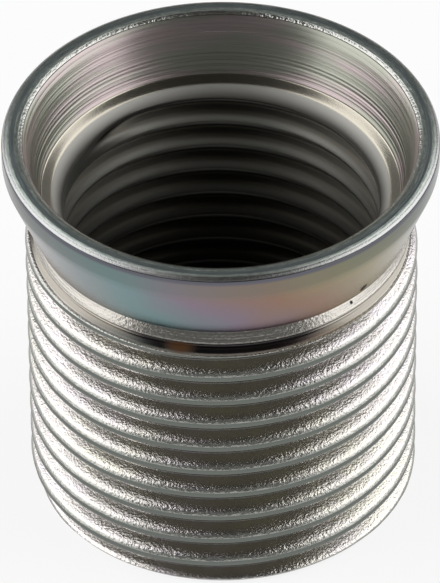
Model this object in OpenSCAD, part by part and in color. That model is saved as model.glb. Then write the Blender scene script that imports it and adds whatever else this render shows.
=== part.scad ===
// Threaded insert: a thin-walled turned sleeve with one thread inside and one outside,
// and a conical flange at its mouth. It stands on its plain end, mouth up.
// All sizes are in millimetres, with Z along the axis and z = 0 at the plain end.

/* [Threads] */
// Nominal diameter of the inside thread
inner_thread_d = 14; // [6:0.5:24]
// Pitch of both threads
thread_pitch = 1.25; // [0.75:0.05:2]
// Solid wall left between the roots of the two threads
root_wall = 0.37; // [0.2:0.01:1.5]
// Width of the flat crest on the outside thread, as a share of the pitch
outer_crest_share = 0.3; // [0.12:0.02:0.4]
// Tap drill size below the nominal diameter, as a share of the pitch
tap_drill_share = 0.94; // [0.8:0.02:1]
// Height at which an outside groove passes the front
thread_phase = 0.59; // [0:0.01:2]
// Height at which an inside groove passes the front
inner_phase = 0.21; // [0:0.01:2]

/* [Length] */
// Length from the plain end to the mouth
total_length = 17.2; // [12:0.1:40]
// Height of the tapered flange under its straight rim
flange_taper_h = 2.75; // [1.5:0.05:5]
// Height of the straight rim, without its rounded edge
rim_h = 0.75; // [0.2:0.05:1.5]
// Height of the relief under the flange, with its small ridge
relief_h = 1.08; // [0.6:0.02:2]

/* [Flange] */
// How far the rim stands out past the outside thread
flange_overhang = 0.84; // [0.4:0.02:3]
// Radius of the rounded outer edge of the rim
rim_edge_r = 0.2; // [0.1:0.05:0.6]
// How far the foot of the taper stays inside the outside thread
taper_foot_inset = 0.26; // [0.1:0.02:0.6]

/* [Mouth] */
// Width of the flat ring on top of the rim
rim_flat_w = 0.5; // [0.2:0.05:1]
// Width of the broken edge between the rim and the mouth
mouth_edge_w = 0.2; // [0.1:0.02:0.4]
// Depth of the open mouth above the inside thread
mouth_depth = 2.62; // [1.5:0.02:4]

/* [Ends] */
// Chamfer on the outside of the plain end
end_chamfer = 0.3; // [0.1:0.05:0.6]
// Chamfer on the inside of the plain end
bore_chamfer = 0.5; // [0.1:0.05:0.8]

/* [Quality] */
// Flat steps in one turn of a thread groove
steps_per_turn = 32; // [24:4:40]

/* [Hidden] */
$fn = 96;

// Both threads have 60 degree flanks
flank = tan(30);
// Inside thread: crest at the tap drill, root at the nominal size
bore_r = (inner_thread_d - tap_drill_share * thread_pitch) / 2;
inner_root_r = inner_thread_d / 2;
inner_root_w = thread_pitch / 8;
// Outside thread: its depth follows from the crest, the flanks and a narrow root
outer_root_w = thread_pitch / 8;
outer_depth = (thread_pitch * (1 - outer_crest_share) - outer_root_w) / (2 * flank);
outer_root_r = inner_root_r + root_wall;
outer_r = outer_root_r + outer_depth;
// Heights, counted down from the mouth
rim_top = total_length;
rim_low = rim_top - rim_edge_r - rim_h;
taper_low = rim_low - flange_taper_h;
relief_low = taper_low - relief_h;
flange_r = outer_r + flange_overhang;
taper_foot_r = outer_r - taper_foot_inset;
// Relief: a narrow groove above the thread, then a small ridge, then a slope in under the taper
relief_r = outer_r - 0.71 * outer_depth;
relief_floor_low = relief_low + 0.17 * relief_h;
relief_floor_high = relief_low + 0.26 * relief_h;
ridge_r = relief_r + 0.24 * outer_depth;
ridge_low = relief_low + 0.36 * relief_h;
ridge_high = relief_low + 0.41 * relief_h;
undercut_r = relief_r - 0.18 * outer_depth;
undercut_z = relief_low + 0.82 * relief_h;
// Mouth: its floor is wider than the root of the inside thread and stays up in the flange
mouth_floor_step = 0.3;
mouth_floor_rise = 0.6;
mouth_floor_r = inner_root_r + mouth_floor_step;
mouth_low = max(rim_top - mouth_depth, taper_low + mouth_floor_rise);
mouth_top_r = flange_r - rim_edge_r - rim_flat_w - mouth_edge_w;
mouth_edge_low = rim_top - 0.7 * mouth_edge_w;
// Lead-in from the mouth's floor down to the bore: a flat shoulder, a steeper part, then a steep end
lead_in = mouth_floor_r - bore_r;
shoulder_r = mouth_floor_r - 0.48 * lead_in;
shoulder_z = mouth_low - 0.21 * lead_in;
lead_end_r = bore_r + 0.14 * lead_in;
lead_end_z = mouth_low - 0.63 * lead_in;
lead_low = mouth_low - 0.9 * lead_in;
// Height at which the middle of the inside groove runs out
groove_end = mouth_low - 1.2 * lead_in;
// How far a thread groove runs past the plain end, and how far its cutter stands out of the surface
run_out = 2 * thread_pitch;
overcut = 0.2;
// The outside grooves end against this height, with a thin edge there
land_cap = relief_low + 0.04 * relief_h;
cap_edge = 0.02;
cap_run_in = 0.12;

// Points along a quarter round from straight out to straight up
function edge_round(cx, cz, r, n = 8) =
    [for (i = [0:n]) [cx + r * cos(90 * i / n), cz + r * sin(90 * i / n)]];

// One ring of a helical groove: its four corners at a turning angle.
// What would stand above the cap is left out, and the groove gets shallow as it runs out there.
function groove_ring(a, z, r_open, w_open, r_root, w_root, cap) =
    let (
        low = z - w_root / 2,
        edge = cap - cap_edge,
        part = (edge - z + w_open / 2) / ((w_open - w_root) / 2),
        r_deep = low <= edge ? r_root : r_open + (r_root - r_open) * part
    )
    [
        [r_open * cos(a), r_open * sin(a), z - w_open / 2],
        [r_deep * cos(a), r_deep * sin(a), min(low, edge)],
        [r_deep * cos(a), r_deep * sin(a), min(z + w_root / 2, cap)],
        [r_open * cos(a), r_open * sin(a), min(z + w_open / 2, cap)]
    ];

// A helical groove as one closed solid, swept ring by ring up the axis
module helical_groove(r_open, w_open, r_root, w_root, z_from, z_to, cap) {
    count = ceil((z_to - z_from) / thread_pitch * steps_per_turn);
    rings = [
        for (i = [0:count])
            groove_ring(360 * i / steps_per_turn - 90, z_from + thread_pitch * i / steps_per_turn,
                r_open, w_open, r_root, w_root, cap)
    ];
    corners = [for (ring = rings) for (p = ring) p];
    inside = r_open < r_root;
    sides = [
        for (i = [0:count - 1])
            for (k = [0:3])
                let (a = 4 * i + k, b = 4 * i + (k + 1) % 4, c = b + 4, d = a + 4)
                    inside ? [a, b, c, d] : [a, d, c, b]
    ];
    last = 4 * count;
    ends = inside
        ? [[3, 2, 1, 0], [last, last + 1, last + 2, last + 3]]
        : [[0, 1, 2, 3], [last + 3, last + 2, last + 1, last]];
    polyhedron(points = corners, faces = concat(sides, ends), convexity = 12);
}

// The turned blank: flange, taper, relief, thread land, both chamfers, bore and mouth
module blank() {
    rotate_extrude()
        polygon(concat(
            [
                [bore_r + bore_chamfer, 0],
                [outer_r - end_chamfer, 0],
                [outer_r, end_chamfer],
                [outer_r, relief_low],
                [relief_r, relief_floor_low],
                [relief_r, relief_floor_high],
                [ridge_r, ridge_low],
                [ridge_r, ridge_high],
                [undercut_r, undercut_z],
                [taper_foot_r, taper_low],
                [flange_r, rim_low]
            ],
            edge_round(flange_r - rim_edge_r, rim_top - rim_edge_r, rim_edge_r),
            [
                [mouth_top_r + mouth_edge_w, rim_top],
                [mouth_top_r, mouth_edge_low],
                [mouth_floor_r, mouth_low],
                [shoulder_r, shoulder_z],
                [lead_end_r, lead_end_z],
                [bore_r, lead_low],
                [bore_r, bore_chamfer]
            ]
        ));
}

// The blank with its outside thread, cut from below the plain end up to the relief
module outside_threaded() {
    open_w = outer_root_w + 2 * flank * (outer_depth + overcut);
    difference() {
        blank();
        helical_groove(outer_r + overcut, open_w, outer_root_r, outer_root_w,
            thread_phase - run_out, land_cap + open_w / 2 - cap_run_in, land_cap);
    }
}

// The whole insert: the inside thread is cut from below the plain end up to the lead-in
module threaded_sleeve() {
    open_w = inner_root_w + 2 * flank * (inner_root_r - bore_r + overcut);
    color("#9aa09a")
        difference() {
            outside_threaded();
            helical_groove(bore_r - overcut, open_w, inner_root_r, inner_root_w,
                inner_phase - run_out, groove_end, total_length);
        }
}

threaded_sleeve();
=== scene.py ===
"""Looks of the threaded insert: one zinc-plated sleeve, threaded inside and out, on a pale floor."""
import math
from types import SimpleNamespace

import bpy
from mathutils import Matrix, Vector


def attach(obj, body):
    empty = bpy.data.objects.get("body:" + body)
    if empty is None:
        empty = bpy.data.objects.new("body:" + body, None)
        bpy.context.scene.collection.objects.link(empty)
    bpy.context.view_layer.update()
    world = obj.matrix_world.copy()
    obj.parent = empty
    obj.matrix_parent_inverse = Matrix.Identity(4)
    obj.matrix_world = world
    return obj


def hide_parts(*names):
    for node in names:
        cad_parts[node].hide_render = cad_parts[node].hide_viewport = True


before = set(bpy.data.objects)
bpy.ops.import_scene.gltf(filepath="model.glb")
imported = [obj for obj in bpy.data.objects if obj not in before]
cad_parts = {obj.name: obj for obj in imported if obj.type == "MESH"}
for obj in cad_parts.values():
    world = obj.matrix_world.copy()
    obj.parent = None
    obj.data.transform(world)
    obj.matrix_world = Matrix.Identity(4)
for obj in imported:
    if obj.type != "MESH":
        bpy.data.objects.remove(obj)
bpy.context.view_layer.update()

MM = 0.001

# Sizes of the insert in millimetres, as in the part's source
PITCH = 1.25
PHASE = 0.59                     # height at which an outside groove passes the front
INNER_PHASE = 0.21               # the same for an inside groove
BORE_R = 6.4125                  # crest of the inside thread
INNER_ROOT_R = 7.0
WALL_R = 7.12                    # in the wall between the roots of the two threads
OUTER_ROOT_R = 7.37
OUTER_R = 7.9925                 # crest of the outside thread
ROOT_W = PITCH / 8
LENGTH = 17.2
END_CHAMFER = 0.3
BORE_CHAMFER = 0.5
FOOT_RADII = (BORE_R + BORE_CHAMFER, 7.1, 7.3)     # rows across the flat of the plain end
LAND_TOP = 12.42                 # where the outside thread ends under the flange
RELIEF_LOW, RELIEF_HIGH = 12.6, 12.69     # floor of the narrow groove above the thread
RELIEF_R = 7.55
RIDGE_R = 7.70
RIDGE_LOW, RIDGE_HIGH = 12.79, 12.86
UNDERCUT_R, UNDERCUT_Z = 7.438, 13.306
TAPER_LOW = 13.5
TAPER_FOOT_R = 7.7325
RIM_LOW = 16.25
FLANGE_R = 8.8325
RIM_EDGE_R = 0.2
MOUTH_TOP_R = 7.9325
MOUTH_LOW = 14.58
MOUTH_EDGE = 17.06               # lower side of the broken edge at the rim
MOUTH_FLOOR_R = 7.3
SHOULDER_R, SHOULDER_Z = 6.874, 14.394
LEAD_R, LEAD_TOP, LEAD_LOW = 6.537, 14.021, 13.781
INNER_TURNS = 10.632             # where the inside groove runs out, counted from its phase
STEPS = 220                      # flat steps round the axis
WELD = 0.0005                    # rows closer than this become one
WEAR = 0.06                      # depth of the dents on the outside crests
DENT_SEED = 3.0
FEEDS_PER_MM = 5.5               # steps that the turning tool left in the mouth

# Colours of the plate, as linear red, green and blue
FILM = ((0.172, 0.178, 0.172), (0.188, 0.162, 0.167), (0.205, 0.218, 0.226), (0.142, 0.238, 0.248),
        (0.216, 0.167, 0.214), (0.252, 0.144, 0.094), (0.252, 0.213, 0.104), (0.204, 0.196, 0.158))
FLANK_GREY = (0.51, 0.485, 0.466, 1)
FLANK_ROSE = (0.56, 0.523, 0.54, 1)
FLANK_STRAW = (0.56, 0.54, 0.482, 1)
# painted shade: dark brown for the flanks that look down, standing in for the dark they reflect
FLANK_UNDERSIDE_SHADE = (0.104, 0.098, 0.074, 1)
CREST_CORNER = (0.36, 0.36, 0.335, 1)
CREST_GREY = (0.155, 0.17, 0.155, 1)
RELIEF_GREY = (0.38, 0.36, 0.33, 1)
# painted shade: the groove under the flange is painted darker, darkest at its front
NOOK_SHADE_GREY = (0.25, 0.232, 0.205, 1)
NOOK_SHADE_DARK = (0.07, 0.064, 0.064, 1)
STRAIGHT_RIM = (0.175, 0.21, 0.195, 1)
TOP_DARK = (0.22, 0.26, 0.235, 1)
TOP_PALE = (0.40, 0.43, 0.41, 1)
TOP_RING = (0.20, 0.228, 0.238, 1)
ROLLED_EDGE = (0.35, 0.355, 0.35, 1)
# painted shade: a dark band round the lower part of the rolled edge, standing in for the dark it reflects
EDGE_SHADE_BAND = (0.125, 0.125, 0.15, 1)
BROKEN_EDGE = (0.42, 0.42, 0.40, 1)
# painted shade: near black deep in the bore, and dark on the inside thread's flanks and roots
BORE_DEEP_SHADE = (0.02, 0.019, 0.015, 1)
BORE_CREST = (0.32, 0.316, 0.29, 1)
BORE_ROOT_SHADE = (0.085, 0.08, 0.068, 1)
LEAD_DARK = (0.10, 0.097, 0.088, 1)
LEAD_PALE = (0.42, 0.413, 0.388, 1)
SHOULDER_TAN = (0.38, 0.355, 0.30, 1)
MOUTH_GREEN = (0.27, 0.275, 0.235, 1)
MOUTH_ROSE = (0.34, 0.285, 0.285, 1)
STAIN_BROWN = (0.12, 0.05, 0.014, 1)
PIT_BLACK = (0.02, 0.018, 0.022, 1)

FLOOR_GLOW = 0.85                # share of the floor's look that is plain white
BORE_FLOOR_GLOW = 0.2            # what is left of it inside the bore


class Sock:
    """A socket of a node tree that can be used in sums, so that shader and shape maths reads as maths."""

    def __init__(self, make, socket):
        self.make, self.socket = make, socket

    def _do(self, operation, *others):
        values = {0: self, **dict(enumerate(others, 1))}
        return self.make.node("ShaderNodeMath", {"operation": operation}, values)

    def _from(self, operation, first):
        return self.make.node("ShaderNodeMath", {"operation": operation}, {0: first, 1: self})

    def __add__(self, other):
        return self._do("ADD", other)

    __radd__ = __add__

    def __mul__(self, other):
        return self._do("MULTIPLY", other)

    __rmul__ = __mul__

    def __sub__(self, other):
        return self._do("SUBTRACT", other)

    def __rsub__(self, other):
        return self._from("SUBTRACT", other)

    def __truediv__(self, other):
        return self._do("DIVIDE", other)

    def __rtruediv__(self, other):
        return self._from("DIVIDE", other)

    def __mod__(self, other):
        return self._do("FLOORED_MODULO", other)

    def __pow__(self, other):
        return self._do("POWER", other)

    def __lt__(self, other):
        return self._do("LESS_THAN", other)

    def __gt__(self, other):
        return self._do("GREATER_THAN", other)

    def least(self, other):
        return self._do("MINIMUM", other)

    def most(self, other):
        return self._do("MAXIMUM", other)

    def sin(self):
        return self._do("SINE")

    def cos(self):
        return self._do("COSINE")

    def floor(self):
        return self._do("FLOOR")

    def abs(self):
        return self._do("ABSOLUTE")

    def between(self, low, high):
        return self.most(low).least(high)

    def rise(self, low, high):
        """0 below low, 1 above high, smooth between."""
        return self.make.node("ShaderNodeMapRange", {"interpolation_type": "SMOOTHSTEP"},
                              {"Value": self, "From Min": low, "From Max": high})

    def band(self, low, full, fade, high):
        """1 from full to fade, 0 below low and above high, smooth between."""
        return self.rise(low, full) * (1.0 - self.rise(fade, high))


class Maker:
    """Adds nodes to one tree."""

    def __init__(self, tree):
        self.tree = tree

    def node(self, kind, settings=None, inputs=None, out=0):
        """A new node's output, or the node itself where out is None; its settings are set first."""
        made = self.tree.nodes.new(kind)
        for name, value in (settings or {}).items():
            if name == "stops":
                self._stops(made.color_ramp, value)
            else:
                setattr(made, name, value)
        for name, value in (inputs or {}).items():
            self.feed(made.inputs[name], value)
        return Sock(self, made.outputs[out]) if out is not None else made

    def feed(self, socket, value):
        if isinstance(value, Sock):
            self.tree.links.new(value.socket, socket)
        else:
            socket.default_value = value

    @staticmethod
    def _stops(ramp, stops):
        while len(ramp.elements) > 1:
            ramp.elements.remove(ramp.elements[-1])
        for i, (place, colour) in enumerate(stops):
            stop = ramp.elements[0] if i == 0 else ramp.elements.new(place)
            stop.position = place
            stop.color = (*colour, 1.0)

    def vector(self, a, b, c):
        return self.node("ShaderNodeCombineXYZ", {}, {0: a, 1: b, 2: c})

    def apart(self, vector):
        """The three numbers of a vector."""
        split = self.node("ShaderNodeSeparateXYZ", {}, {0: vector}, out=None)
        return [Sock(self, number) for number in split.outputs]

    def mixed(self, share, a, b):
        """Colour a where share is 0, and b where it is 1."""
        return self.node("ShaderNodeMix", {"data_type": "RGBA"}, {0: share, 6: a, 7: b}, out=2)

    def noise(self, place, scale, detail=2.0, rough=0.5):
        return self.node("ShaderNodeTexNoise", {}, {"Vector": place, "Scale": scale, "Detail": detail,
                                                    "Roughness": rough})


def quarter_round(cx, cz, r, n=7):
    """Points along a rounded edge, from straight out to straight up."""
    return [(cx + r * math.cos(math.radians(90 * i / n)), cz + r * math.sin(math.radians(90 * i / n)))
            for i in range(n + 1)]


def straight(a, b, n):
    """Points from a towards b, without b."""
    return [(a[0] + (b[0] - a[0]) * i / n, a[1] + (b[1] - a[1]) * i / n) for i in range(n)]


def half_thread(root_r, crest_r, root_w, roundness, shares):
    """Height and radius of a thread's corners, from mid groove to mid crest."""
    depth = crest_r - root_r
    run = abs(depth) * math.tan(math.radians(30))
    side = math.copysign(roundness, depth)
    half = [(0.0, root_r), (0.5 * root_w - 0.02, root_r + 0.01 * depth)]
    half += [(0.5 * root_w + run * share, root_r + depth * share) for share in shares]
    half += [(0.5 * root_w + run - 0.2 * roundness, crest_r - 0.85 * side),
             (0.5 * root_w + run + 0.9 * roundness, crest_r - 0.12 * side), (PITCH / 2, crest_r)]
    return half


OUTER_HALF = half_thread(OUTER_ROOT_R, OUTER_R, ROOT_W, 0.09, (0.12, 0.4, 0.65, 0.8))
INNER_HALF = half_thread(INNER_ROOT_R, BORE_R, ROOT_W, 0.17, (0.12, 0.4, 0.62))


def thread_rows(half, low, high, phase):
    """Radius and height of a thread's rows as a turn starts, from one pitch under low up to high."""
    one = half + [(PITCH - dz, r) for dz, r in half[-2:0:-1]]
    rows = []
    first = math.floor((low - PITCH - phase) / PITCH) - 1
    last = math.ceil((high - phase) / PITCH) + 1
    for turn in range(first, last + 1):
        for dz, r in one:
            rows.append((r, phase + turn * PITCH + dz))
    return [row for row in rows if low - PITCH - 0.2 <= row[1] <= high + 0.2]


def section():
    """The section as rows (radius, height, kind): kind 0 is plain, 1 outside thread, 2 inside thread."""
    rows = [(r, 0.0, 0) for r in FOOT_RADII]
    outer = thread_rows(OUTER_HALF, 0.0, LAND_TOP, PHASE)
    rows += [(r, z, 1) for r, z in outer]
    # relief groove with a small ridge in it, then the taper
    plain = [(RELIEF_R + 0.04, RELIEF_LOW - 0.016), (RELIEF_R, RELIEF_LOW + 0.01),
             (RELIEF_R, RELIEF_HIGH), (RELIEF_R + 0.02, RELIEF_HIGH + 0.03),
             (RIDGE_R - 0.02, RIDGE_LOW), (RIDGE_R, RIDGE_LOW + 0.025), (RIDGE_R - 0.005, RIDGE_HIGH),
             *straight((RIDGE_R - 0.035, RIDGE_HIGH + 0.05), (UNDERCUT_R, UNDERCUT_Z), 4),
             (UNDERCUT_R + 0.012, UNDERCUT_Z - 0.03), (UNDERCUT_R, UNDERCUT_Z),
             (UNDERCUT_R + 0.03, UNDERCUT_Z + 0.025),
             (TAPER_FOOT_R - 0.05, TAPER_LOW - 0.04), (TAPER_FOOT_R - 0.01, TAPER_LOW - 0.015),
             (TAPER_FOOT_R + 0.012, TAPER_LOW + 0.03)]
    plain += straight((TAPER_FOOT_R + 0.08, TAPER_LOW + 0.2), (FLANGE_R - 0.06, RIM_LOW - 0.15), 8)
    plain += [(FLANGE_R - 0.02, RIM_LOW - 0.03), (FLANGE_R, RIM_LOW + 0.08), (FLANGE_R, RIM_LOW + 0.4)]
    plain += quarter_round(FLANGE_R - RIM_EDGE_R, LENGTH - RIM_EDGE_R, RIM_EDGE_R)
    # flat rim, broken edge, flared mouth and lead-in
    plain += [(MOUTH_TOP_R + 0.45, LENGTH), (MOUTH_TOP_R + 0.26, LENGTH),
              (MOUTH_TOP_R + 0.2, LENGTH - 0.012), (MOUTH_TOP_R + 0.05, LENGTH - 0.10),
              (MOUTH_TOP_R + 0.01, LENGTH - 0.15), (MOUTH_TOP_R, LENGTH - 0.2)]
    plain += straight((MOUTH_TOP_R - 0.03, MOUTH_EDGE - 0.12), (MOUTH_FLOOR_R, MOUTH_LOW), 10)
    plain += [(MOUTH_FLOOR_R + 0.008, MOUTH_LOW + 0.03), (MOUTH_FLOOR_R - 0.02, MOUTH_LOW - 0.007)]
    plain += straight((MOUTH_FLOOR_R - 0.07, MOUTH_LOW - 0.03), (SHOULDER_R, SHOULDER_Z), 4)
    plain += [(SHOULDER_R + 0.02, SHOULDER_Z + 0.005), (SHOULDER_R - 0.015, SHOULDER_Z - 0.02)]
    plain += straight((SHOULDER_R - 0.05, SHOULDER_Z - 0.06), (LEAD_R, LEAD_TOP), 4)
    rows += [(r, z, 0) for r, z in plain]
    inner = thread_rows(INNER_HALF, 0.0, LEAD_TOP, INNER_PHASE)
    rows += [(r, z, 2) for r, z in reversed(inner)]
    return rows


def section_mesh(name, rows):
    """The section as a line of points, each with its kind, for the tree that turns it."""
    mesh = bpy.data.meshes.new(name)
    points = [(r * MM, 0.0, z * MM) for r, z, kind in rows]
    mesh.from_pydata(points, [(i, i + 1) for i in range(len(rows) - 1)], [])
    kinds = mesh.attributes.new("kind", "FLOAT", "POINT")
    for item, (r, z, kind) in zip(kinds.data, rows):
        item.value = kind
    return mesh


def turning_tree():
    """Geometry Nodes: turns a section round Z, and lifts the rows of its threads by one pitch a turn."""
    tree = bpy.data.node_groups.new("turn_and_thread", "GeometryNodeTree")
    face = tree.interface
    face.new_socket("Geometry", in_out="INPUT", socket_type="NodeSocketGeometry")
    for name, kind in (("Steps", "Int"), ("Rows", "Int"), ("Pitch", "Float"), ("Start Angle", "Float"),
                       ("Outside Top", "Float"), ("Inside Top", "Float"), ("Wear", "Float"),
                       ("Seed", "Float")):
        face.new_socket(name, in_out="INPUT", socket_type="NodeSocket" + kind)
    face.new_socket("Finish", in_out="INPUT", socket_type="NodeSocketMaterial")
    face.new_socket("Geometry", in_out="OUTPUT", socket_type="NodeSocketGeometry")
    make = Maker(tree)
    entry = make.node("NodeGroupInput", out=None)
    given = {s.name: Sock(make, s) for s in entry.outputs if s.name}
    counts = {"Vertices X": given["Steps"] + 1.0, "Vertices Y": given["Rows"]}
    grid = make.node("GeometryNodeMeshGrid", {}, {"Size X": 1.0, "Size Y": 1.0, **counts})
    index = make.node("GeometryNodeInputIndex")
    row = index % given["Rows"]
    turn = (index / given["Rows"]).floor() / given["Steps"]

    def sampled(data, value):
        return make.node("GeometryNodeSampleIndex", {"data_type": data, "domain": "POINT"},
                         {"Geometry": given["Geometry"], "Value": value, "Index": row})

    place = sampled("FLOAT_VECTOR", make.node("GeometryNodeInputPosition"))
    marked = make.node("GeometryNodeInputNamedAttribute", {"data_type": "FLOAT"}, {"Name": "kind"})
    kind = sampled("FLOAT", marked)
    radius, _, height = make.apart(place)
    outside = (kind > 0.5) * (kind < 1.5)
    inside = kind > 1.5
    threaded = kind > 0.5
    lifted = height + threaded * turn * given["Pitch"]
    # plain rows end a whole metre up, so nothing caps them
    top = outside * given["Outside Top"] + inside * given["Inside Top"] + (1.0 - threaded)
    z = lifted.least(top)
    z = threaded * z.most(0.0) + (1.0 - threaded) * z
    # outside: past either end of the land a row stays on the thread's own form at that end
    end = (lifted > top) * top
    off = (((end - PHASE * MM) / given["Pitch"] - turn + 0.5) % 1.0 - 0.5).abs() * given["Pitch"]
    slopes = [r0 * MM + (off - z0 * MM) * ((r1 - r0) / (z1 - z0))
              for (z0, r0), (z1, r1) in zip(OUTER_HALF[2:], OUTER_HALF[3:])]
    at_end = slopes[0]
    for slope in slopes[1:]:
        at_end = at_end.least(slope)
    at_end = at_end.between(OUTER_ROOT_R * MM, OUTER_R * MM)
    past = (lifted > top).most(lifted < 0.0)
    foot = z + (OUTER_R - END_CHAMFER) * MM
    cut_out = (past * at_end + (1.0 - past) * radius).least(foot)
    # the land's upper end slopes in towards the relief where a crest meets it
    above = outside * (lifted > top + 0.1 * MM) * (at_end > (RELIEF_R + 0.12) * MM)
    cut_out = cut_out - above * (0.049 * MM)
    z = z + above * (0.02 * MM)
    # inside: the groove runs out below the lead-in, and the plain end has a chamfer
    last = height > (INNER_PHASE + (math.floor(INNER_TURNS) - 0.5) * PITCH) * MM
    beyond = height > (INNER_PHASE + (math.floor(INNER_TURNS) + 0.5) * PITCH) * MM
    ending = turn.rise(INNER_TURNS % 1.0 - 0.06, INNER_TURNS % 1.0 + 0.04)
    groove = (1.0 - beyond) * (1.0 - last * ending)
    bored = BORE_R * MM + (radius - BORE_R * MM) * groove
    climb = ((z - LEAD_LOW * MM) / ((LEAD_TOP - LEAD_LOW) * MM)).most(0.0)
    lead = BORE_R * MM + climb * climb * ((LEAD_R - BORE_R) * MM)
    chamfer = (BORE_R + BORE_CHAMFER) * MM - z
    cut_in = bored.least((BORE_R + BORE_CHAMFER) * MM + z * 1.5).most(chamfer).most(lead)
    cut_in = (lifted > top) * (LEAD_R * MM) + (1.0 - (lifted > top)) * cut_in
    r = outside * cut_out + inside * cut_in + (1.0 - threaded) * radius
    angle = turn * (2 * math.pi) + given["Start Angle"]
    spot = make.vector(r * angle.cos(), r * angle.sin(), z)
    # small dents and ripples, mostly on the outside crests
    noise = make.node("ShaderNodeTexNoise", {"noise_dimensions": "4D"},
                      {"Vector": spot, "W": given["Seed"], "Scale": 900.0, "Detail": 2.0})
    to_end = ((top - lifted).least(lifted) / (0.3 * MM)).between(0.0, 1.0)
    crest = outside * (radius > (OUTER_R - 0.04) * MM) * to_end
    r = r - crest * given["Wear"] * (noise - 0.35).most(0.0)
    spot = make.vector(r * angle.cos(), r * angle.sin(), z)
    turned = make.node("GeometryNodeSetPosition", {}, {"Geometry": grid, "Position": spot})
    joined = make.node("GeometryNodeMergeByDistance", {}, {"Geometry": turned, "Distance": WELD * MM})
    smooth = make.node("GeometryNodeSetShadeSmooth", {}, {"Geometry": joined, "Shade Smooth": True})
    real = make.node("GeometryNodeRealizeInstances", {}, {"Geometry": smooth})
    done = make.node("GeometryNodeSetMaterial", {}, {"Geometry": real, "Material": given["Finish"]})
    out = make.node("NodeGroupOutput", out=None)
    make.feed(out.inputs[0], done)
    return tree


def turned_piece(name, rows, finish):
    """The section turned and threaded by the tree, as a plain mesh in an object of its own."""
    mesh = section_mesh(name + "_section", rows)
    draft = bpy.data.objects.new(name + "_draft", mesh)
    bpy.context.collection.objects.link(draft)
    tree = turning_tree()
    modifier = draft.modifiers.new("turn", "NODES")
    modifier.node_group = tree
    ids = {s.name: s.identifier for s in tree.interface.items_tree if s.in_out == "INPUT"}
    values = {"Steps": STEPS, "Rows": len(rows), "Pitch": PITCH * MM, "Start Angle": -math.pi / 2,
              "Outside Top": LAND_TOP * MM, "Inside Top": LEAD_TOP * MM, "Wear": WEAR * MM,
              "Seed": DENT_SEED, "Finish": finish}
    for label, value in values.items():
        modifier[ids[label]] = value
    graph = bpy.context.evaluated_depsgraph_get()
    made = bpy.data.meshes.new_from_object(draft.evaluated_get(graph))
    draft.modifiers.remove(modifier)
    bpy.data.objects.remove(draft)
    made.name = name
    piece = bpy.data.objects.new(name, made)
    bpy.context.collection.objects.link(piece)
    return piece


def plate_places(make):
    """Where a point of the sleeve lies, in millimetres, and its share of the outside thread's pitch."""
    spot = make.node("ShaderNodeTexCoord", out="Object")
    in_mm = make.node("ShaderNodeVectorMath", {"operation": "SCALE"}, {0: spot, "Scale": 1 / MM})
    x, y, z = make.apart(in_mm)
    radius = (x * x + y * y) ** 0.5
    angle = make.node("ShaderNodeMath", {"operation": "ARCTAN2"}, {0: y, 1: x})
    unit_x, unit_y = x / radius, y / radius

    def around(reach, along):
        """A place for noise that runs round the axis with no break."""
        return make.vector(unit_x * reach, unit_y * reach, along)

    # the share starts at the root, and the flank that looks down comes first
    share = ((z - PHASE) / PITCH - (angle + math.pi / 2) / (2 * math.pi) + 0.1) % 1.0
    return SimpleNamespace(spot=spot, in_mm=in_mm, x=x, y=y, z=z, radius=radius, angle=angle, share=share,
                           around=around)


def plate_zones(at):
    """Zones of the sleeve, each 1 inside and 0 outside, with a soft edge."""
    z, radius, share = at.z, at.radius, at.share
    climb = ((MOUTH_EDGE - z) / (MOUTH_EDGE - MOUTH_LOW)).between(0.0, 1.0)
    wall = MOUTH_TOP_R - climb * (MOUTH_TOP_R - MOUTH_FLOOR_R)
    inner = 1.0 - (radius - wall.most(WALL_R)).rise(0.04, 0.08)
    mouth = inner * z.rise(MOUTH_LOW - 0.01, MOUTH_LOW + 0.03)
    over_lead = z.rise(SHOULDER_Z - 0.06, SHOULDER_Z + 0.02)
    lead = inner * z.rise(LEAD_LOW, LEAD_LOW + 0.1) * (1.0 - over_lead)
    shoulder = inner * (1.0 - mouth) * over_lead
    flange = (1.0 - inner) * z.rise(TAPER_LOW - 0.06, TAPER_LOW)
    rim = (1.0 - inner) * z.rise(LENGTH - 0.14, LENGTH - 0.1)
    edge = rim * (1.0 - radius.rise(MOUTH_TOP_R + 0.18, MOUTH_TOP_R + 0.24))
    flat_r = FLANGE_R - RIM_EDGE_R
    top = (rim - edge) * (1.0 - radius.rise(flat_r - 0.02, flat_r + 0.06))
    roll = rim - edge - top
    thread = (1.0 - inner) * (1.0 - flange)
    crest = thread * share.band(0.49, 0.52, 0.672, 0.69) * (1.0 - z.rise(LAND_TOP - 0.02, LAND_TOP))
    relief = thread * z.rise(LAND_TOP, LAND_TOP + 0.06)
    flank = thread * (1.0 - crest) * (1.0 - relief)
    # painted shade: the flank that looks down is marked here to be painted dark
    shaded_underside = flank * share.band(0.02, 0.1, 0.50, 0.53)
    return SimpleNamespace(inner=inner, mouth=mouth, lead=lead, shoulder=shoulder, flange=flange, rim=rim,
                           edge=edge, top=top, roll=roll, crest=crest, relief=relief, flank=flank,
                           shaded_underside=shaded_underside)


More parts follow.
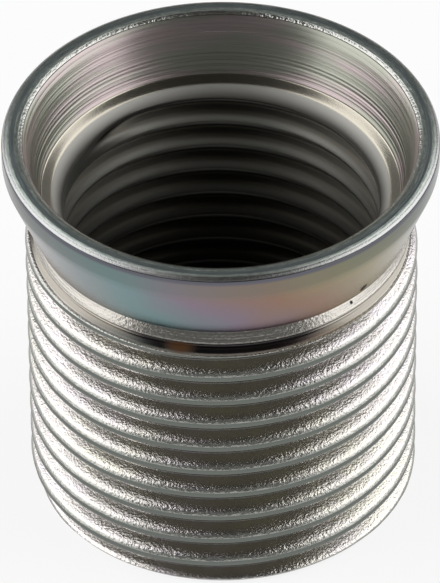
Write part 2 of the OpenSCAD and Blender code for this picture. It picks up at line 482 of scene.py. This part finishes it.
def plate_marks(make, at):
    """Two dark pits by the foot of the taper, the brown stain, and painted shade in the relief's groove,
    darkest at the front.
    """
    def near(r, degrees, height, reach, squeeze=1.0):
        """1 at a spot of the sleeve, 0 beyond reach; squeeze makes it lower than wide."""
        a = math.radians(degrees)
        place = (r * math.cos(a), r * math.sin(a), height * squeeze)
        gap = make.node("ShaderNodeVectorMath", {"operation": "DISTANCE"},
                        {0: make.vector(at.x, at.y, at.z * squeeze), 1: place}, out="Value")
        return 1.0 - gap.rise(0.2 * reach, reach)

    large_pit = near(r=7.868, degrees=-44.1, height=13.84, reach=0.24, squeeze=0.9)
    small_pit = near(r=7.55, degrees=-46.8, height=13.1, reach=0.085)
    stain = near(r=7.62, degrees=-102.7, height=12.56, reach=0.85, squeeze=3.4)
    # painted shade: a dark patch at the front of the groove under the flange
    front_nook_shade = near(r=7.7, degrees=-89.0, height=12.62, reach=5.4)
    return SimpleNamespace(pits=(large_pit.most(small_pit) * 2.0).least(1.0), stain=stain,
                           front_nook_shade=(front_nook_shade * 2.0).least(1.0))


def outside_colour(make, at, zone, mark):
    """Colours of the outside thread, the relief and the flange with its rim."""
    drift = make.noise(at.around(1.4, at.z * 0.15), 1.0)
    tint = make.mixed(drift.rise(0.4, 0.6), FLANK_ROSE, FLANK_STRAW)
    patchy = make.noise(at.spot, 900.0, 3.0)
    colour = make.mixed(patchy.rise(0.35, 0.65), FLANK_GREY, tint)
    colour = make.mixed(at.share.band(0.60, 0.66, 0.74, 0.8), colour, CREST_CORNER)
    # painted shade: the flanks that look down are painted dark brown, standing in for the dark they
    # reflect
    colour = make.mixed(zone.shaded_underside, colour, FLANK_UNDERSIDE_SHADE)
    # painted shade: the groove's floor under the flange is painted darker than the rest of the relief,
    # and darkest towards the front
    nook = at.z.band(LAND_TOP + 0.04, LAND_TOP + 0.08, RIDGE_LOW - 0.03, RIDGE_LOW + 0.01)
    nook_shade_colour = make.mixed(mark.front_nook_shade, NOOK_SHADE_GREY, NOOK_SHADE_DARK)
    colour = make.mixed(zone.relief, colour, make.mixed(nook, RELIEF_GREY, nook_shade_colour))
    # the film's colours follow each other round the flange, twice in a turn
    sweep = at.angle * (1.0 / math.pi) + (make.noise(at.spot, 260.0) - 0.5) * 0.2 + (at.z - 14.6) * 0.025
    stops = [(i / len(FILM), film) for i, film in enumerate(FILM)] + [(1.0, FILM[0])]
    rainbow = make.node("ShaderNodeValToRGB", {"stops": stops}, {0: sweep % 1.0})
    upper = at.z.rise(RIM_LOW - 0.5, RIM_LOW + 0.25) * 0.45
    colour = make.mixed(zone.flange, colour, make.mixed(upper, rainbow, STRAIGHT_RIM))
    speck = make.noise(at.around(9.0, at.radius * 4.0), 3.0, 3.0, 0.7)
    colour = make.mixed(zone.top, colour, make.mixed(speck.rise(0.35, 0.7), TOP_DARK, TOP_PALE))
    ring = zone.top * at.radius.band(FLANGE_R - 0.55, FLANGE_R - 0.45, FLANGE_R - 0.36, FLANGE_R - 0.28)
    colour = make.mixed(ring, colour, TOP_RING)
    colour = make.mixed(zone.roll, colour, ROLLED_EDGE)
    # painted shade: the lower rolled edge and the top of the land are painted dark navy, standing in for
    # the dark they reflect
    edge_shade = (1.0 - zone.inner) * at.z.band(LENGTH - 0.4, LENGTH - 0.22, LENGTH - 0.16, LENGTH - 0.09)
    colour = make.mixed(edge_shade, colour, EDGE_SHADE_BAND)
    colour = make.mixed(zone.edge, colour, BROKEN_EDGE)
    return make.mixed(zone.crest, colour, CREST_GREY)


def inside_colour(make, at, zone, colour):
    """The colours so far, with those of the bore, the lead-in and the mouth laid over them."""
    # painted shade: the colour darkens to near black down the bore, and off the crests the flanks and
    # roots are painted dark
    depth = at.z.rise(2.0, 14.2) ** 2.4
    off_crest = at.radius.rise(BORE_R + 0.06, BORE_R + 0.22)
    bright = make.mixed(off_crest, BORE_CREST, BORE_ROOT_SHADE)
    colour = make.mixed(zone.inner, colour, make.mixed(depth, BORE_DEEP_SHADE, bright))
    up_lead = at.z.rise(LEAD_LOW + 0.1, SHOULDER_Z - 0.05)
    colour = make.mixed(zone.lead, colour, make.mixed(up_lead, LEAD_DARK, LEAD_PALE))
    colour = make.mixed(zone.shoulder, colour, SHOULDER_TAN)
    veil = make.noise(at.around(1.5, at.z * 1.1), 1.0)
    return make.mixed(zone.mouth, colour, make.mixed(veil.rise(0.38, 0.62), MOUTH_GREEN, MOUTH_ROSE))


def surface_height(make, at, zone, mark):
    """Fine relief of the surface in millimetres: turned lines, torn grain, pits and the rolled edge."""
    # fine rings along the axis, and in the mouth small steps left by the tool's feed
    rings = make.noise(at.around(0.06, at.z * 5.0), 1.0, 2.5, 0.65)
    feed = (at.z * FEEDS_PER_MM + rings * 1.6) % 1.0
    lean = 0.27 + 0.11 * (1.0 - at.z.rise(MOUTH_LOW, MOUTH_LOW + 1.6))
    face_rings = make.noise(at.around(0.3, at.radius * 7.0), 1.6, 4.0, 0.7)
    # torn grain on the thread's flanks, coarser towards the crest
    torn = make.noise(at.around(62.0, at.radius * 10.0 - at.z * 4.0), 1.0, 2.0, 0.6)
    ragged = at.radius.rise(OUTER_ROOT_R + 0.1, OUTER_R - 0.1)
    grain = make.noise(at.in_mm, 18.0, 2.0, 0.6)
    nicks = make.noise(at.in_mm, 7.0, 2.0, 0.6)
    lines = make.noise(at.around(0.3, at.z * 9.0), 1.0, 3.0, 0.6)
    slope = zone.relief * at.z.rise(RIDGE_LOW + 0.01, RIDGE_HIGH)
    rounding = zone.rim * at.radius.rise(FLANGE_R - 0.33, FLANGE_R - 0.12)
    return (zone.mouth * (rings * 0.04 - feed * lean * (1 / FEEDS_PER_MM))
            + zone.top * (face_rings * 0.04 + grain * 0.02)
            + zone.flange * (1.0 - zone.top) * rings * 0.003
            + zone.flank * (0.3 + ragged) * torn * 0.028
            + zone.crest * torn * 0.026
            + slope * (lines * 0.03 + torn * 0.018)
            + (zone.inner - zone.mouth) * (rings * 0.004 + grain * 0.002)
            + zone.edge * nicks * 0.035
            + zone.roll * grain * 0.015
            - mark.pits * 0.05
            - rounding * 0.06)


def plated_zinc():
    """Bright zinc plate with a faint rainbow: zones follow the sleeve's own radius, height and thread."""
    finish = bpy.data.materials.new("plated_zinc")
    finish.use_nodes = True
    finish.node_tree.nodes.clear()
    make = Maker(finish.node_tree)
    at = plate_places(make)
    zone = plate_zones(at)
    mark = plate_marks(make, at)
    colour = outside_colour(make, at, zone, mark)
    colour = inside_colour(make, at, zone, colour)
    colour = make.mixed(mark.stain, colour, STAIN_BROWN)
    colour = make.mixed(mark.pits, colour, PIT_BLACK)
    metal = (1.0 - mark.stain * 0.6) * (1.0 - mark.pits)
    threaded_bore = zone.inner - zone.mouth - zone.shoulder
    rough = (0.2 + zone.mouth * 0.12 + zone.top * 0.1 + zone.crest * 0.2 + zone.flange * 0.04
             + threaded_bore * 0.28 + zone.lead * 0.14 + zone.flank * 0.03
             + mark.stain * 0.4 + mark.pits * 0.7)
    height = surface_height(make, at, zone, mark)
    bump = make.node("ShaderNodeBump", {}, {"Strength": 1.0, "Distance": MM, "Height": height})
    shader = make.node("ShaderNodeBsdfPrincipled", {}, {"Base Color": colour, "Metallic": metal,
                                                        "Roughness": rough, "Normal": bump})
    out = make.node("ShaderNodeOutputMaterial", out=None)
    make.feed(out.inputs["Surface"], shader)
    return finish


sleeve = turned_piece("plated_sleeve", section(), plated_zinc())
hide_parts("threaded_sleeve")
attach(sleeve, "root")


def pale_floor():
    """White to the camera and in reflections, with the insert's soft shadow still on it."""
    finish = bpy.data.materials.new("pale_floor")
    finish.use_nodes = True
    finish.node_tree.nodes.clear()
    make = Maker(finish.node_tree)
    paint = make.node("ShaderNodeBsdfDiffuse", {}, {"Color": (0.9, 0.9, 0.9, 1)})
    white = make.node("ShaderNodeEmission", {}, {"Color": (1, 1, 1, 1), "Strength": 1.0})
    path = make.node("ShaderNodeLightPath", out=None)
    seen = Sock(make, path.outputs["Is Camera Ray"]).most(Sock(make, path.outputs["Is Glossy Ray"]))
    seen = seen.most(Sock(make, path.outputs["Is Transmission Ray"]))
    # inside the bore the floor lies in the insert's own shadow
    x, y, _ = make.apart(make.node("ShaderNodeTexCoord", out="Object"))
    in_open = (x * x + y * y) ** 0.5 > INNER_ROOT_R * MM
    lit = in_open.most(BORE_FLOOR_GLOW)
    floor_shader = make.node("ShaderNodeMixShader", {}, {0: seen * lit * FLOOR_GLOW, 1: paint, 2: white})
    out = make.node("ShaderNodeOutputMaterial", out=None)
    make.feed(out.inputs["Surface"], floor_shader)
    mesh = bpy.data.meshes.new("floor")
    half = 1.5
    corners = [(-half, -half, 0), (half, -half, 0), (half, half, 0), (-half, half, 0)]
    mesh.from_pydata(corners, [], [(0, 1, 2, 3)])
    mesh.materials.append(finish)
    floor = bpy.data.objects.new("floor", mesh)
    bpy.context.collection.objects.link(floor)


def side_panel(name, side, across, behind, width, height, power):
    """A lit panel that stands on the floor beside the insert and faces it."""
    lamp = bpy.data.lights.new(name, "AREA")
    lamp.shape, lamp.size, lamp.size_y, lamp.energy = "RECTANGLE", width, height, power
    panel = bpy.data.objects.new(name, lamp)
    place = Vector((side * across, behind, height / 2 + 0.005))
    facing = Vector((side, 0, 0)).to_track_quat("Z", "Y").to_matrix().to_4x4()
    panel.matrix_world = Matrix.Translation(place) @ facing
    bpy.context.collection.objects.link(panel)


def studio_camera():
    """The photograph's view, from a fit to the rim, the crests and the outline."""
    elevation, roll, distance = math.radians(40.874), math.radians(-0.49), 310.2 * MM
    long_side_px, px_per_mm = 583, 24.4016
    left_px, up_px = -2.0, 10.8
    aim = Vector((0, 0, 8.4 * MM))
    place = aim + distance * Vector((0, -math.cos(elevation), math.sin(elevation)))
    lens = bpy.data.cameras.new("camera")
    lens.sensor_width = 36.0
    lens.lens = px_per_mm / MM * distance * lens.sensor_width / long_side_px
    lens.shift_x, lens.shift_y = left_px / long_side_px, up_px / long_side_px
    lens.clip_start, lens.clip_end = 0.01, 20.0
    camera = bpy.data.objects.new("camera", lens)
    turned = (aim - place).to_track_quat("-Z", "Y").to_matrix().to_4x4() @ Matrix.Rotation(roll, 4, "Z")
    camera.matrix_world = Matrix.Translation(place) @ turned
    bpy.context.collection.objects.link(camera)
    bpy.context.scene.camera = camera


def studio_world():
    """A dim room: dark overhead, a little lighter towards the horizon."""
    world = bpy.data.worlds.new("studio")
    world.use_nodes = True
    tree = world.node_tree
    make = Maker(tree)
    _, _, up = make.apart(make.node("ShaderNodeTexCoord", out="Generated"))
    stops = [(0.0, (0.22, 0.225, 0.22)), (0.5, (0.22, 0.23, 0.225)), (0.8, (0.06, 0.06, 0.055)),
             (1.0, (0.03, 0.028, 0.024))]
    shade = make.node("ShaderNodeValToRGB", {"stops": stops}, {0: up.most(0.0)})
    back = tree.nodes["Background"]
    make.feed(back.inputs["Color"], shade)
    back.inputs["Strength"].default_value = 1.0
    bpy.context.scene.world = world


pale_floor()
side_panel("left_panel", side=-1, across=0.45, behind=0.08, width=0.8, height=1.0, power=5.6)
side_panel("right_panel", side=1, across=0.45, behind=0.08, width=0.8, height=0.8, power=4.5)
studio_world()
studio_camera()
bpy.context.scene.view_settings.view_transform = "Standard"
